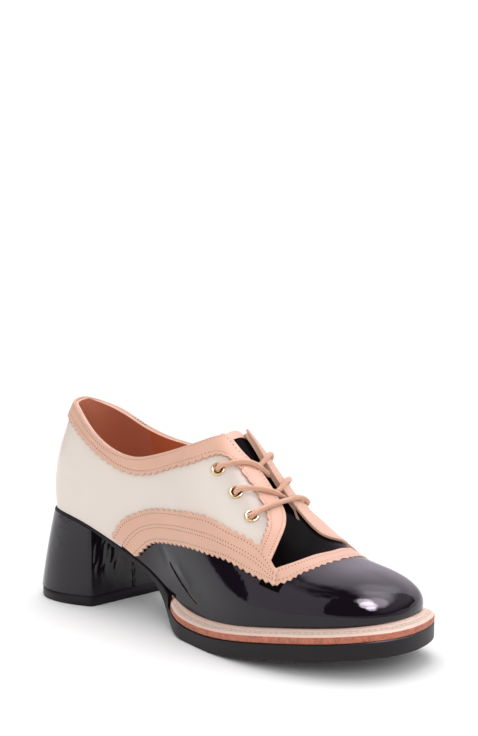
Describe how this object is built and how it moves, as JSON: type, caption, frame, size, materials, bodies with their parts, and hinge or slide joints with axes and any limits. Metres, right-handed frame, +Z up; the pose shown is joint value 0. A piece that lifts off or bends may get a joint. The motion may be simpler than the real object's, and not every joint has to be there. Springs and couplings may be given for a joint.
{
  "type": "heeled oxford shoe",
  "caption": "Low-cut lace-up shoe on a covered block heel, with patent panels, pinked leather bands, a stitched welt and laced eyelets.",
  "frame": {"origin": "centre of the bounding box in plan, on the floor that the shoe stands on", "axes": "+X from the heel to the toe, +Z up, -Y the outer side of the right foot"},
  "size_m": [0.2706, 0.0966, 0.1223],
  "materials": {
    "black_rubber": "satin",
    "welt_leather": "matte",
    "black_patent": "gloss",
    "patent_leather": "gloss",
    "nude_leather": "satin",
    "lining_leather": "matte",
    "eyelet_brass": "polished",
    "nude_lace": "matte"
  },
  "bodies": {
    "root": {"outsole": "black_rubber", "welt": "welt_leather", "heel": "black_patent", "heel_lift": "black_rubber", "insole": "lining_leather", "upper": "patent_leather", "tongue": "black_patent", "collar_band": "nude_leather", "facing_band_outer": "nude_leather", "facing_band_inner": "nude_leather", "side_band_outer": "nude_leather", "side_band_inner": "nude_leather", "vamp_band": "nude_leather", "eyelet_1": "eyelet_brass", "eyelet_2": "eyelet_brass", "eyelet_3": "eyelet_brass", "eyelet_4": "eyelet_brass", "eyelet_5": "eyelet_brass", "eyelet_6": "eyelet_brass", "lace_cross_top": "nude_lace", "lace_cross_middle": "nude_lace", "lace_bar": "nude_lace"}
  },
  "joints": []
}
